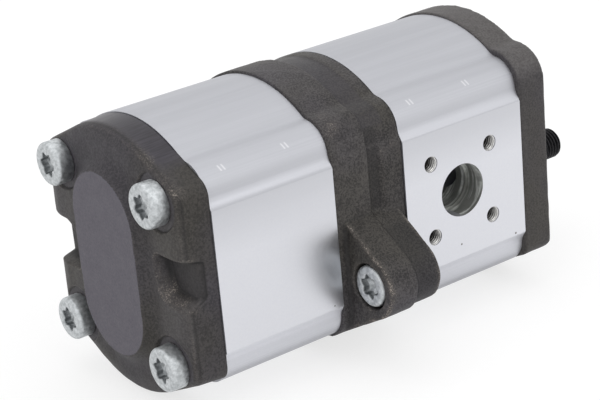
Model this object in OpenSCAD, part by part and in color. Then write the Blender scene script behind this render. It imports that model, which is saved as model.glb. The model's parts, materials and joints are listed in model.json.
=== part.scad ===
// Two-stage external gear pump with a common suction port.
// The shaft turns about the X axis. X = 0 is the front mounting face, and +X points out along the shaft.

/* [Housing profile] */
// Diameter of the round barrel that the bodies are cut from
barrel_d = 100.5; // [99:0.5:106]
// Width over the two machined side flats
flat_w = 86; // [83:0.5:88]
// Distance between neighbouring housing screws, both ways
screw_pitch = 60; // [59:0.5:62]
// Radius of the lobe round each housing screw
lobe_r = 10.8; // [9.5:0.1:12]
// Radius of the hollow blend between a lobe and the barrel
lobe_blend = 6; // [2:0.5:9]
// How far the front cover's barrel stands proud of the bodies
front_cover_proud = 0.8; // [0:0.1:2]
// Radius of the front cover's two lobes that have the mounting holes
mount_lobe_r = 13.2; // [12:0.1:13.5]
// Radius of the front cover's other two corners
corner_r = 5.5; // [4:0.1:7]
// Height of those corners' middles from the middle plane
corner_z = 32; // [30:0.1:33]
// How far the coupling flange stands proud of the barrel
flange_proud = 1; // [0:0.1:2]
// How far the centre castings lie inside the side flats
centre_flat_inset = 0.5; // [0:0.1:1]

/* [Stack lengths] */
// Thickness of the front cover
front_cover_len = 13; // [12:0.5:18]
// Length of the front stage's body
front_body_len = 56.5; // [52:0.5:66]
// Thickness of the adapter plate behind the front stage
adapter_len = 15.3; // [14.5:0.1:20]
// Thickness of the coupling flange that carries the rear stage
flange_len = 16.2; // [15.5:0.1:22]
// Length of the rear stage's body
rear_body_len = 51; // [46:0.5:60]
// Height of the rear cover's face above its joint
rear_cover_len = 13; // [11:0.5:16]
// Height of the bare machined pad above that face
pad_h = 4; // [2:0.5:6]

/* [Gears] */
// Teeth on every gear
tooth_count = 12; // [10:2:14]
// Distance between the two gear axes
centre_distance = 34; // [33:0.5:35]
// Tip diameter of the gears
tip_d = 40; // [39.5:0.1:40.2]
// Working pressure angle of the teeth
pressure_angle = 27; // [25:0.5:28]
// Width of the front stage's gears
front_gear_w = 22; // [14:0.5:24]
// Width of the rear stage's gears
rear_gear_w = 16.5; // [10:0.5:22]
// Diameter of the gear journals
journal_d = 20; // [16:0.5:21]
// Wall of the bearing bushes
bush_wall = 1.5; // [1:0.1:2]

/* [Ports] */
// Diameter of the suction port
suction_d = 20; // [16:0.5:21]
// Bolt circle of the suction port
suction_pcd = 40; // [38:0.5:42]
// Diameter of the pressure ports
pressure_d = 15; // [12:0.5:16]
// Bolt circle of the pressure ports
pressure_pcd = 35; // [33:0.5:37]
// Tapping diameter of the port screws
port_tap_d = 5; // [4.2:0.1:5.2]
// Depth of the port screw holes
port_tap_depth = 13; // [8:0.5:14]
// Depth of the ports' full diameter
port_depth = 8.5; // [8:0.5:14]
// Step down in diameter behind it
port_step = 2; // [1:0.5:4]
// From the front body's front face to the middle of its gears and ports
port_from_front = 30; // [28:0.5:32]
// Diameter of the suction gallery that runs through both bodies
gallery_d = 12; // [8:0.5:12]
// Distance of that gallery from the middle plane
gallery_y = 23.5; // [23.5:0.5:26]

/* [Screws] */
// Thread diameter of the housing and ear screws
screw_d = 10; // [8:0.5:10]
// Thread pitch of the housing and ear screws
screw_pitch_thread = 1.5; // [1:0.25:1.75]
// Diameter of the screw heads
head_d = 16; // [14:0.5:16.5]
// Height of the housing screw heads
head_h = 6.5; // [6:0.5:8]
// Height of the ear screw heads
ear_head_h = 8; // [6:0.5:8.5]
// Across the points of the six-lobe recess
recess_d = 8.8; // [7:0.1:9]
// Depth of the six-lobe recess
recess_depth = 4; // [2:0.5:5]
// Shank length of the rear stage's screws
rear_screw_len = 73.5; // [73:0.5:74.5]
// Thread engagement of the front stage's screws in the front cover
front_thread_grip = 8.5; // [7:0.5:9.5]
// Shank length of the ear screws
ear_screw_len = 13; // [9:0.5:14]

/* [Ears] */
// Distance between the two ear screws
ear_spacing = 106.4; // [104:0.2:112]
// Radius of the lugs on the coupling flange
flange_lug_r = 12.2; // [11:0.1:13]
// Radius of the lugs on the adapter plate
adapter_lug_r = 11.2; // [10:0.1:12]
// Height above the shaft where the lugs' upper slope leaves the side flat
ear_top = 21.5; // [18:0.5:24]
// How far the lugs' outer faces lie behind the castings' faces
ear_recess = 3.8; // [2:0.1:4]
// Width of the relieved strip along the joint on the adapter plate's flats
flat_relief_w = 5.4; // [3:0.1:7]
// Depth of that strip
flat_relief_depth = 1; // [0.3:0.1:1.5]
// Width of the relieved strip round the adapter plate's barrel and lobes
round_relief_w = 10.3; // [7.5:0.1:12]
// Depth of that strip
round_relief_depth = 0.5; // [0.2:0.1:1]

/* [Rear cover] */
// Width of the pad
pad_w = 38; // [34:0.5:42]
// Length of the pad
pad_len = 69; // [60:0.5:76]
// How far the pad's sides spread out down to the face
pad_draft = 4; // [1:0.5:5]
// Radius of the spotfaces under the screw heads
spotface_r = 10.6; // [9:0.1:10.8]
// Depth of the spotfaces below the face
spotface_depth = 0.6; // [0.4:0.1:2]
// How far the cover's rim lies inside the body's outline
cover_inset = 0.4; // [0:0.1:1]
// How far its lobes stand proud of the body's
cover_lobe_proud = 0.2; // [0:0.1:1]
// Width of the scoop in each side, at the face
scoop_w = 19; // [14:0.5:22]
// Width of the scoops' floors
scoop_floor_w = 11; // [8:0.5:13]
// Depth of the scoops below the face
scoop_depth = 6; // [2:0.5:7]
// Distance of the scoops' inner ends from the middle plane
scoop_y = 24.5; // [23:0.5:30]
// How far the scoops are shifted along the flats, one up and the other down
scoop_shift = 1.6; // [0:0.1:3]

/* [Shaft end] */
// Diameter of the locating pilot on the mounting face
pilot_d = 50; // [46:0.5:52]
// Height of the pilot
pilot_h = 8; // [7:0.5:12]
// Where the shaft's taper starts, from the mounting face
taper_start = 3; // [1:0.5:6]
// Length of the taper
taper_len = 24; // [20:0.5:30]
// Diameter lost over the length of the taper, as one in this many
taper_ratio = 5; // [4.5:0.1:8]
// Diameter of the shaft's end thread
thread_d = 12; // [10:0.5:14]
// Pitch of the shaft's end thread
thread_pitch = 1.5; // [1:0.25:2]
// Number of turns of the end thread
thread_turns = 10; // [6:1:14]
// Outer diameter of the shaft seal
seal_d = 35; // [32:0.5:36]
// Width of the shaft seal
seal_w = 7; // [5:0.5:7]
// Diameter of the disc that the shaft key is cut from
key_disc_d = 16; // [13:0.5:18]
// Width of the shaft key
key_w = 4; // [3:0.5:5]

/* [Clearances] */
// Radial clearance of the journals in their bushes
journal_gap = 0.03; // [0.02:0.01:0.05]
// Radial clearance of the gear tips in the chamber
tip_gap = 0.1; // [0.06:0.01:0.15]
// Clearance on each flat side of the gears
side_gap = 0.05; // [0.03:0.01:0.1]
// Play between the flanks of meshed teeth
backlash = 0.14; // [0.1:0.01:0.2]
// Radial clearance of screws in their holes
screw_gap = 0.5; // [0.3:0.1:0.6]
// Clearance of still pieces in their seats
seat_gap = 0.05; // [0.02:0.01:0.08]

/* [Hidden] */
$fn = 96;

// Joint planes of the stack, counted back from the mounting face
x_body_front = -front_cover_len;
x_body_back = x_body_front - front_body_len;
x_joint = x_body_back - adapter_len;
x_flange_back = x_joint - flange_len;
x_cover_joint = x_flange_back - rear_body_len;
x_cover_face = x_cover_joint - rear_cover_len;
x_spotface = x_cover_face + spotface_depth;

// The housing is centred between the two gear axes
mid_z = centre_distance / 2;
half_pitch = screw_pitch / 2;
ear_y = ear_spacing / 2;
flat_y = flat_w / 2;
centre_flat = flat_y - centre_flat_inset;
relieved_flat = centre_flat - flat_relief_depth;
// A lobe that bulges less than this gets no blend
least_bulge = 0.3;
// How far a blend's circle cuts past the two that it touches, so that they cross
blend_bite = 0.005;
// How far the front cover's straight sides cut into the rounds that lie along them
flat_bite = 0.05;
overlap = 1;

// Gears
front_mesh_x = x_body_front - port_from_front;
rear_mesh_x = x_flange_back - rear_body_len / 2;
pitch_r = centre_distance / 2;
base_r = pitch_r * cos(pressure_angle);
tip_r = tip_d / 2;
root_clearance = 0.35;
root_r = centre_distance - tip_r - root_clearance;
chamber_r = tip_r + tip_gap;
flank_steps = 5;
least_half_tooth = 0.3;

// Screws and threads
thread_depth_ratio = 0.54;
thread_core_r = screw_d / 2 - thread_depth_ratio * screw_pitch_thread;
tapped_r = thread_core_r + seat_gap;
screw_hole_r = screw_d / 2 + screw_gap;
head_chamfer = 0.8;
recess_lobe_ratio = 0.13;
recess_waist_ratio = 1.35;
recess_turn = 15;
counterbore_r = head_d / 2 + screw_gap;
counterbore_depth = head_h + screw_gap;
x_front_seat = x_joint + counterbore_depth;
tap_spare = 1;
x_ear_back = x_flange_back + ear_recess;
x_ear_front = x_body_back - ear_recess;
x_ear_seat = x_ear_back + ear_head_h;

// Seals, bushes and dowels
seal_land = 1.4;
body_seal_r = chamber_r + seal_land;
body_seal_w = 2;
body_seal_depth = 1.5;
block_r = chamber_r - seat_gap;
bush_r = journal_d / 2 + journal_gap + bush_wall;
field_land = 3.8;
field_seal_r = bush_r + field_land;
field_open_y = -2;
field_seal_w = 1.8;
backup_w = 1;
field_seal_depth = 2;
gallery_seal_w = 2;
gallery_seal_depth = 1.5;
gallery_r = gallery_d / 2;
gallery_seal_r = gallery_r + seal_land;
dowel_d = 6;
dowel_len = 12;
dowel_y = 36;
dowel_z = 16;

// Splined drive between the stages
spline_count = 6;
spline_r = 7.5;
spline_core_r = 6;
spline_w = 3.2;
coupling_r = 11;
coupling_len = 22;
coupling_room = 1.5;
shaft_end_gap = 2;
spigot_r = 19;
spigot_h = 4;
spigot_seal_w = 2;

// Shaft end
cover_hole_r = journal_d / 2 + 0.5;
seal_seat_depth = pilot_h + 1;
seal_floor_x = pilot_h - seal_seat_depth;
ring_w = 1.3;
ring_groove_depth = 0.9;
ring_x = seal_floor_x + seal_w + 0.1;
taper_end = taper_start + taper_len;
taper_end_r = journal_d / 2 - taper_len / taper_ratio / 2;
thread_relief = 1.5;
shaft_end_x = taper_end + thread_relief + thread_pitch * thread_turns;
key_x = taper_start + taper_len / 2;
key_surface_r = journal_d / 2 - taper_len / taper_ratio / 4;
key_depth = 4.5;
key_proud = 2;

cast_iron = [0.30, 0.29, 0.28];
aluminium = [0.80, 0.81, 0.83];
zinc = [0.70, 0.72, 0.73];
steel = [0.45, 0.46, 0.48];
black_steel = [0.10, 0.10, 0.11];
bronze = [0.66, 0.50, 0.28];
rubber = [0.08, 0.08, 0.08];
nylon = [0.88, 0.86, 0.80];

// A drawing in Y and Z carried along +X from x0
module along_x(x0, len) {
    translate([x0, 0, 0]) rotate([90, 0, 90]) linear_extrude(height = len) children();
}

// A round bar or hole along +X from x0
module rod_x(x0, len, r, y = 0, z = 0) {
    translate([x0, y, z]) rotate([0, 90, 0]) cylinder(r = r, h = len);
}

// A profile of radius against X, turned about the shaft axis shifted to (y, z)
module turned_x(y = 0, z = 0) {
    translate([0, y, z]) rotate([0, 90, 0]) rotate([0, 0, 90]) rotate_extrude() children();
}

// Copies at the four housing screws
module at_screws() {
    for (sy = [-1, 1], sz = [-1, 1]) translate([0, sy * half_pitch, mid_z + sz * half_pitch]) children();
}

// Copies at the two housing screws on one diagonal, side = 1 or -1
module at_diagonal(side) {
    for (s = [-1, 1]) translate([0, s * side * half_pitch, mid_z + s * half_pitch]) children();
}

// Lobe in the first quadrant with its two hollow blends. A blend's centre is where circles of the two
// radii, each grown by the blend's, cross. A lobe that hardly reaches past the barrel has no blends
module lobe(barrel_r, r, blend) {
    away = half_pitch * sqrt(2);
    out = barrel_r + blend;
    translate([half_pitch, half_pitch]) circle(r = r);
    if (away + r > barrel_r + least_bulge) {
        turn = acos((out * out + away * away - pow(r + blend, 2)) / (2 * out * away));
        low = on_circle(out, 45 - turn);
        high = on_circle(out, 45 + turn);
        difference() {
            polygon([[0, 0], low, [half_pitch, half_pitch], high]);
            for (middle = [low, high]) translate(middle) circle(r = blend + blend_bite);
        }
    }
}

// Corner of the front cover in the first quadrant: a small round that lies along the flat and runs
// straight into the barrel. The straight side cuts a little way into both rounds, so that they cross
module cover_corner(barrel_r, side_y) {
    outer = side_y + flat_bite;
    middle = [outer - corner_r, corner_z];
    near_r = corner_r - flat_bite;
    far_r = barrel_r - flat_bite;
    across = tangent_normal([0, 0], far_r, middle, near_r, 1);
    translate(middle) circle(r = corner_r);
    polygon([[0, 0], [outer, 0], [outer, corner_z], middle + near_r * across, far_r * across]);
}

// A drawing in the first quadrant, set on both corners of one diagonal
module on_diagonal(side) {
    for (turn = [0, 180]) rotate(turn) mirror([(1 - side) / 2, 0]) children();
}

// Barrel in Y and Z with the corners that are its children, and with its flats cut
module flatted(barrel_r, side_y) {
    translate([0, mid_z]) intersection() {
        union() {
            circle(r = barrel_r);
            children();
        }
        square([2 * side_y, 4 * barrel_r], center = true);
    }
}

module housing_outline(barrel_grow = 0, side_y = flat_y, lobe_grow = 0) {
    barrel_r = barrel_d / 2 + barrel_grow;
    flatted(barrel_r, side_y) {
        for (side = [-1, 1]) on_diagonal(side) lobe(barrel_r, lobe_r + lobe_grow, lobe_blend);
    }
}

// The front cover's flats run on into the lobes with mounting holes
module front_cover_outline() {
    barrel_r = barrel_d / 2 + front_cover_proud;
    side_y = half_pitch + mount_lobe_r - flat_bite;
    flatted(barrel_r, side_y) {
        on_diagonal(1) cover_corner(barrel_r, side_y);
        on_diagonal(-1) lobe(barrel_r, mount_lobe_r, lobe_blend);
    }
}

// The two gear circles in Y and Z
module figure_eight(r) {
    circle(r = r);
    translate([0, centre_distance]) circle(r = r);
}

module figure_eight_ring(r, w) {
    difference() {
        figure_eight(r + w);
        figure_eight(r);
    }
}

// Ring round the chamber and the suction gallery, grown by w
module seal_ring(grow, w) {
    difference() {
        seal_field(grow + w);
        seal_field(grow);
    }
}

module seal_field(grow) {
    figure_eight(body_seal_r + grow);
    translate([-gallery_y, mid_z]) circle(r = gallery_seal_r + grow);
}

// Unit normal of the outer tangent of two circles, on one side
function tangent_normal(c1, r1, c2, r2, side) =
    let(d = c2 - c1, len = norm(d), across = (r1 - r2) / len, along = side * sqrt(1 - across * across))
    [(d[0] * across - d[1] * along) / len, (d[1] * across + d[0] * along) / len];

// One lug with its web, in Y and Z on the +Y side
module ear_outline(lug_r, side_y, low_r) {
    lug = [ear_y, 0];
    low = [half_pitch, mid_z - half_pitch];
    top = [side_y, ear_top];
    upper = tangent_normal(top, 0, lug, lug_r, 1);
    lower = tangent_normal(low, low_r, lug, lug_r, -1);
    translate(lug) circle(r = lug_r);
    polygon([[half_pitch, ear_top], top, lug + lug_r * upper, lug + lug_r * lower, low + low_r * lower,
        [half_pitch, low[1]]]);
}

module both_ears(lug_r, side_y, low_r) {
    for (side = [0, 1]) mirror([side, 0]) ear_outline(lug_r, side_y, low_r);
}

// Gears
function involute(angle) = tan(angle) - angle * PI / 180;
pitch_half_angle = 90 / tooth_count - backlash / 4 / pitch_r * 180 / PI;
// Half the angle that a tooth spans at radius r, never quite a point
function half_tooth(r) = max(least_half_tooth,
    pitch_half_angle + (involute(pressure_angle) - involute(acos(min(1, base_r / r)))) * 180 / PI);
flank_radii = concat([root_r], [for (i = [0 : flank_steps]) base_r + (tip_r - base_r) * i / flank_steps]);
flank_half_angles = [for (r = flank_radii) half_tooth(max(r, base_r))];
function on_circle(r, angle) = [r * cos(angle), r * sin(angle)];

module gear_outline() {
    last = len(flank_radii) - 1;
    polygon([for (t = [0 : tooth_count - 1]) let(middle = t * 360 / tooth_count) each concat(
        [for (i = [0 : last]) on_circle(flank_radii[i], middle - flank_half_angles[i])],
        [for (i = [0 : last]) on_circle(flank_radii[last - i], middle + flank_half_angles[last - i])])]);
}

// One tooth of a drive gear points up, and one gap of a driven gear points down
drive_phase = 90;
driven_phase = 90 + 180 / tooth_count * (1 + tooth_count % 2);

module gear_teeth(mesh_x, width, z, phase) {
    translate([0, 0, z]) along_x(mesh_x - width / 2 + side_gap, width - 2 * side_gap) rotate(phase) gear_outline();
}

module journals(x_back, x_front, z) {
    end_gap = 0.3;
    rod_x(x_back + end_gap, x_front - x_back - 2 * end_gap, journal_d / 2, 0, z);
}

module spline_outline(gap) {
    circle(r = spline_core_r + gap);
    intersection() {
        circle(r = spline_r + gap);
        for (i = [0 : spline_count - 1]) {
            rotate(i * 360 / spline_count) translate([0, -spline_w / 2 - gap])
                square([spline_r + overlap, spline_w + 2 * gap]);
        }
    }
}

// Screws
module recess_outline() {
    lobe = recess_d * recess_lobe_ratio;
    circle(r = recess_d / 2 - recess_waist_ratio * lobe);
    for (i = [0 : 5]) rotate(i * 60 + recess_turn) translate([recess_d / 2 - lobe, 0]) circle(r = lobe);
}

// A screw along +X whose head rests on x_seat
module socket_screw(x_seat, height, len, grip) {
    shank_r = screw_d / 2;
    difference() {
        turned_x() polygon([
            [0, x_seat - height], [head_d / 2 - head_chamfer, x_seat - height],
            [head_d / 2, x_seat - height + head_chamfer], [head_d / 2, x_seat],
            [shank_r, x_seat], [shank_r, x_seat + len - grip], [thread_core_r, x_seat + len - grip],
            [thread_core_r, x_seat + len], [0, x_seat + len]]);
        along_x(x_seat - height - overlap, recess_depth + overlap) recess_outline();
    }
}

module dowel_rods(x_joint_plane, gap) {
    for (s = [-1, 1]) {
        rod_x(x_joint_plane - dowel_len / 2 - gap, dowel_len + 2 * gap, dowel_d / 2 + gap, s * dowel_y,
            mid_z + s * dowel_z);
    }
}

// Seals in the end faces of the bodies. The seal lies in a groove that is cut back from x_face, side = 1 or -1
module body_seal(x_face, side) {
    x0 = side > 0 ? x_face - body_seal_depth + seat_gap : x_face;
    along_x(x0, body_seal_depth - seat_gap) seal_ring(seat_gap, body_seal_w - 2 * seat_gap);
}

module body_seal_groove(x_face, side) {
    x0 = side > 0 ? x_face - body_seal_depth : x_face - overlap;
    along_x(x0, body_seal_depth + overlap) seal_ring(0, body_seal_w);
}

// Seal round the gallery in the joint between the castings, or its groove when gap is zero
module gallery_ring(x0, len, gap) {
    difference() {
        rod_x(x0, len, gallery_seal_r + gallery_seal_w - gap, -gallery_y, mid_z);
        rod_x(x0 - overlap, len + 2 * overlap, gallery_seal_r + gap, -gallery_y, mid_z);
    }
}

// Drilling from the side face, side = 1 for +Y or -1 for -Y, reaching in to y_end
module side_drilling(x, z, r, side, y_end) {
    length = flat_y + overlap - side * y_end;
    translate([x, side * (flat_y + overlap), z]) rotate([side * 90, 0, 0]) cylinder(r = r, h = length);
}

// A port with its four tapped holes. The rear body's is drilled on across the chamber into the gallery
module port(x, side, d, pcd, y_end) {
    side_drilling(x, mid_z, d / 2, side, side * (flat_y - port_depth));
    side_drilling(x, mid_z, (d - port_step) / 2, side, y_end);
    for (i = [0 : 3]) {
        hole = on_circle(pcd / 2, 45 + 90 * i);
        side_drilling(x + hole[0], mid_z + hole[1], port_tap_d / 2, side, side * (flat_y - port_tap_depth));
    }
}

// What both bodies have: chamber, screw holes, seal grooves and dowel holes
module stage_body(x_back, x_front) {
    difference() {
        along_x(x_back, x_front - x_back) housing_outline();
        for (z = [0, centre_distance]) rod_x(x_back - overlap, x_front - x_back + 2 * overlap, chamber_r, 0, z);
        rod_x(x_back - overlap, x_front - x_back + 2 * overlap, gallery_r, -gallery_y, mid_z);
        at_screws() rod_x(x_back - overlap, x_front - x_back + 2 * overlap, screw_hole_r);
        body_seal_groove(x_front, 1);
        body_seal_groove(x_back, -1);
        dowel_rods(x_front, seat_gap);
        dowel_rods(x_back, seat_gap);
        children();
    }
}

// Bearing block between a gear and an end plate. The pressure field seal lies in its end at x_plate
module bearing_block(x_gear_side, x_plate) {
    side = sign(x_plate - x_gear_side);
    x_back = min(x_gear_side, x_plate);
    length = abs(x_plate - x_gear_side);
    difference() {
        along_x(x_back, length) figure_eight(block_r);
        for (z = [0, centre_distance]) rod_x(x_back - overlap, length + 2 * overlap, bush_r, 0, z);
        field_ring(side > 0 ? x_plate - field_seal_depth : x_plate - overlap, field_seal_depth + overlap,
            field_seal_r, field_seal_w + backup_w, 0);
    }
}

// Open ring round both journals on the pressure side
module field_ring(x0, len, r, w, gap) {
    intersection() {
        along_x(x0, len) figure_eight_ring(r + gap, w - 2 * gap);
        translate([x0 - overlap, field_open_y + gap, -tip_r]) cube([len + 2 * overlap, tip_d, tip_d + centre_distance]);
    }
}

module field_seals(x_back_plate, x_front_plate, r, w) {
    field_ring(x_back_plate, field_seal_depth - seat_gap, r, w, seat_gap);
    field_ring(x_front_plate - field_seal_depth + seat_gap, field_seal_depth - seat_gap, r, w, seat_gap);
}

module stage_bushes(x_back, x_mesh, width, x_front) {
    for (z = [0, centre_distance], span = [[x_back, x_mesh - width / 2], [x_mesh + width / 2, x_front]]) {
        difference() {
            rod_x(span[0], span[1] - span[0], bush_r - seat_gap / 5, 0, z);
            rod_x(span[0] - overlap, span[1] - span[0] + 2 * overlap, journal_d / 2 + journal_gap, 0, z);
        }
    }
}

// Rear stage
module rear_cover() {
    color(cast_iron) difference() {
        union() {
            along_x(x_cover_face, rear_cover_len) housing_outline(-cover_inset, flat_y - cover_inset, cover_lobe_proud);
            pad_boss();
        }
        at_screws() rod_x(x_cover_face - overlap, rear_cover_len + 2 * overlap, screw_hole_r);
        at_screws() rod_x(x_cover_face - pad_h - overlap, pad_h + spotface_depth + overlap, spotface_r);
        for (side = [-1, 1]) scoop(side);
        dowel_rods(x_cover_joint, seat_gap);
    }
}

module pad_boss() {
    reach = pad_len / 2 - pad_w / 2;
    hull() for (s = [-1, 1]) {
        translate([x_cover_face, 0, mid_z + s * reach]) rotate([0, -90, 0])
            cylinder(r1 = pad_w / 2 + pad_draft, r2 = pad_w / 2, h = pad_h, $fn = 64);
    }
}

// Scoop with sloping walls and a round inner end, open to the side
module scoop(side) {
    z = mid_z - side * scoop_shift;
    hull() for (y = [scoop_y + scoop_w / 2, barrel_d / 2 + scoop_w]) {
        translate([x_cover_face - overlap, side * y, z]) rotate([0, 90, 0])
            cylinder(r1 = scoop_w / 2, r2 = scoop_floor_w / 2, h = scoop_depth + overlap, $fn = 32);
    }
}

module rear_cover_screws() {
    color(zinc) at_screws() socket_screw(x_spotface, head_h, rear_screw_len, rear_thread_grip);
}
rear_thread_grip = x_spotface + rear_screw_len - x_flange_back;

module rear_cover_body_seal() {
    color(rubber) body_seal(x_cover_joint, -1);
}

module rear_body() {
    color(aluminium) stage_body(x_cover_joint, x_flange_back) {
        port(rear_mesh_x, 1, pressure_d, pressure_pcd, -gallery_y);
    }
}

module rear_stage_dowels() {
    color(steel) {
        dowel_rods(x_cover_joint, 0);
        dowel_rods(x_flange_back, 0);
    }
}

module rear_bearing_block_back() {
    color(aluminium) bearing_block(rear_mesh_x - rear_gear_w / 2, x_cover_joint);
}

module rear_bearing_block_front() {
    color(aluminium) bearing_block(rear_mesh_x + rear_gear_w / 2, x_flange_back);
}

module rear_stage_bushes() {
    color(bronze) stage_bushes(x_cover_joint, rear_mesh_x, rear_gear_w, x_flange_back);
}

module rear_pressure_field_seals() {
    color(rubber) field_seals(x_cover_joint, x_flange_back, field_seal_r + backup_w, field_seal_w);
}

module rear_seal_backup_rings() {
    color(nylon) field_seals(x_cover_joint, x_flange_back, field_seal_r, backup_w);
}

module rear_drive_gear() {
    color(steel) {
        gear_teeth(rear_mesh_x, rear_gear_w, 0, drive_phase);
        journals(x_cover_joint, x_flange_back, 0);
        along_x(x_flange_back - overlap, x_joint - shaft_end_gap / 2 - x_flange_back + overlap) spline_outline(0);
    }
}

module rear_driven_gear() {
    color(steel) {
        gear_teeth(rear_mesh_x, rear_gear_w, centre_distance, driven_phase);
        journals(x_cover_joint, x_flange_back, centre_distance);
    }
}

module rear_flange_body_seal() {
    color(rubber) body_seal(x_flange_back, 1);
}

// Centre castings
module coupling_flange() {
    coupling_bore_r = coupling_r + coupling_room;
    color(cast_iron) difference() {
        union() {
            along_x(x_flange_back, flange_len) housing_outline(flange_proud, centre_flat, flange_proud);
            along_x(x_ear_back, x_joint - x_ear_back)
                both_ears(flange_lug_r, centre_flat, lobe_r + flange_proud);
            rod_x(x_joint - overlap, spigot_h + overlap, spigot_r);
        }
        rod_x(x_flange_back - overlap, flange_len + spigot_h + 2 * overlap, coupling_bore_r);
        at_screws() rod_x(x_flange_back - overlap, rear_thread_grip + tap_spare + overlap, tapped_r);
        rod_x(x_flange_back - overlap, flange_len + 2 * overlap, gallery_r, -gallery_y, mid_z);
        gallery_ring(x_joint - gallery_seal_depth, gallery_seal_depth + overlap, 0);
        for (s = [-1, 1]) {
            rod_x(x_ear_back - overlap, ear_head_h + overlap, counterbore_r, s * ear_y);
            rod_x(x_ear_seat - overlap, x_joint - x_ear_seat + 2 * overlap, screw_hole_r, s * ear_y);
        }
        spigot_groove();
        dowel_rods(x_flange_back, seat_gap);
    }
}

module spigot_groove() {
    difference() {
        rod_x(x_joint + spigot_h / 2 - spigot_seal_w / 2, spigot_seal_w, spigot_r + overlap);
        rod_x(x_joint, spigot_h, spigot_r - spigot_seal_w);
    }
}

module flange_spigot_seal() {
    color(rubber) difference() {
        rod_x(x_joint + spigot_h / 2 - spigot_seal_w / 2 + seat_gap, spigot_seal_w - 2 * seat_gap, spigot_r);
        rod_x(x_joint, spigot_h, spigot_r - spigot_seal_w + seat_gap);
    }
}

module gallery_seal() {
    color(rubber) gallery_ring(x_joint - gallery_seal_depth + seat_gap, gallery_seal_depth - seat_gap, seat_gap);
}

module adapter_plate() {
    coupling_bore_r = coupling_r + coupling_room;
    color(cast_iron) difference() {
        union() {
            along_x(x_joint + round_relief_w, adapter_len - round_relief_w) housing_outline(0, centre_flat, 0);
            along_x(x_joint + flat_relief_w, round_relief_w - flat_relief_w + overlap)
                housing_outline(-round_relief_depth, centre_flat, -round_relief_depth);
            along_x(x_joint, flat_relief_w + overlap)
                housing_outline(-round_relief_depth, relieved_flat, -round_relief_depth);
            along_x(x_joint, x_ear_front - x_joint)
                both_ears(adapter_lug_r, relieved_flat, lobe_r - round_relief_depth);
        }
        rod_x(x_joint - overlap, adapter_len + 2 * overlap, coupling_bore_r);
        rod_x(x_joint - overlap, spigot_h + seat_gap + overlap, spigot_r + seat_gap);
        at_screws() rod_x(x_joint - overlap, adapter_len + 2 * overlap, screw_hole_r);
        at_screws() rod_x(x_joint - overlap, counterbore_depth + overlap, counterbore_r);
        rod_x(x_joint - overlap, adapter_len + 2 * overlap, gallery_r, -gallery_y, mid_z);
        for (s = [-1, 1]) rod_x(x_joint - overlap, ear_tap_depth + overlap, tapped_r, s * ear_y);
        dowel_rods(x_body_back, seat_gap);
    }
}
ear_grip = x_ear_seat + ear_screw_len - x_joint;
ear_tap_depth = ear_grip + tap_spare;

module ear_screws() {
    color(zinc) for (s = [-1, 1]) translate([0, s * ear_y, 0])
        socket_screw(x_ear_seat, ear_head_h, ear_screw_len, ear_grip);
}

module drive_coupling() {
    x0 = x_joint - coupling_len / 2;
    color(steel) difference() {
        rod_x(x0, coupling_len, coupling_r);
        along_x(x0 - overlap, coupling_len + 2 * overlap) spline_outline(seat_gap);
    }
}

// Front stage
module front_stage_screws() {
    length = x_body_front + front_thread_grip - x_front_seat;
    color(zinc) at_diagonal(1) socket_screw(x_front_seat, head_h, length, front_thread_grip);
}

module front_adapter_body_seal() {
    color(rubber) body_seal(x_body_back, -1);
}

module front_body() {
    color(aluminium) stage_body(x_body_back, x_body_front) {
        port(front_mesh_x, -1, suction_d, suction_pcd, 0);
        port(front_mesh_x, 1, pressure_d, pressure_pcd, 0);
    }
}

module front_stage_dowels() {
    color(steel) {
        dowel_rods(x_body_back, 0);
        dowel_rods(x_body_front, 0);
    }
}

module front_bearing_block_back() {
    color(aluminium) bearing_block(front_mesh_x - front_gear_w / 2, x_body_back);
}

module front_bearing_block_front() {
    color(aluminium) bearing_block(front_mesh_x + front_gear_w / 2, x_body_front);
}

module front_stage_bushes() {
    color(bronze) stage_bushes(x_body_back, front_mesh_x, front_gear_w, x_body_front);
}

module front_pressure_field_seals() {
    color(rubber) field_seals(x_body_back, x_body_front, field_seal_r + backup_w, field_seal_w);
}

module front_seal_backup_rings() {
    color(nylon) field_seals(x_body_back, x_body_front, field_seal_r, backup_w);
}

// Half profile of the shaft in front of the journal: plain end, taper, relief and thread
module shaft_nose() {
    thread_r = thread_d / 2;
    groove_r = thread_r - thread_depth_ratio * thread_pitch;
    relief_r = groove_r - 0.2;
    x_thread = taper_end + thread_relief;
    teeth = [for (i = [0 : thread_turns - 1]) each [
        [groove_r, x_thread + i * thread_pitch], [thread_r, x_thread + (i + 0.42) * thread_pitch],
        [thread_r, x_thread + (i + 0.58) * thread_pitch]]];
    turned_x() polygon(concat(
        [[0, x_body_front - overlap], [journal_d / 2, x_body_front - overlap], [journal_d / 2, taper_start],
            [taper_end_r, taper_end], [relief_r, taper_end], [relief_r, x_thread]],
        teeth, [[groove_r, shaft_end_x], [0, shaft_end_x]]));
}

module front_drive_gear_shaft() {
    color(black_steel) difference() {
        union() {
            gear_teeth(front_mesh_x, front_gear_w, 0, drive_phase);
            rod_x(x_body_back, x_body_front - x_body_back, journal_d / 2);
            along_x(x_joint + shaft_end_gap / 2, x_body_back - x_joint - shaft_end_gap / 2 + overlap)
                spline_outline(0);
            shaft_nose();
        }
        key_disc(key_disc_d / 2 + seat_gap, key_w + 2 * seat_gap);
    }
}

// The key's disc stands across the shaft's top, in the middle of the taper
module key_disc(r, w) {
    z = key_surface_r - key_depth + key_disc_d / 2;
    translate([key_x, -w / 2, z]) rotate([-90, 0, 0]) cylinder(r = r, h = w);
}

module shaft_key() {
    top = key_surface_r + key_proud;
    color(steel) intersection() {
        key_disc(key_disc_d / 2, key_w);
        translate([key_x - key_disc_d, -key_w, top - key_disc_d]) cube([2 * key_disc_d, 2 * key_w, key_disc_d]);
    }
}

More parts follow.
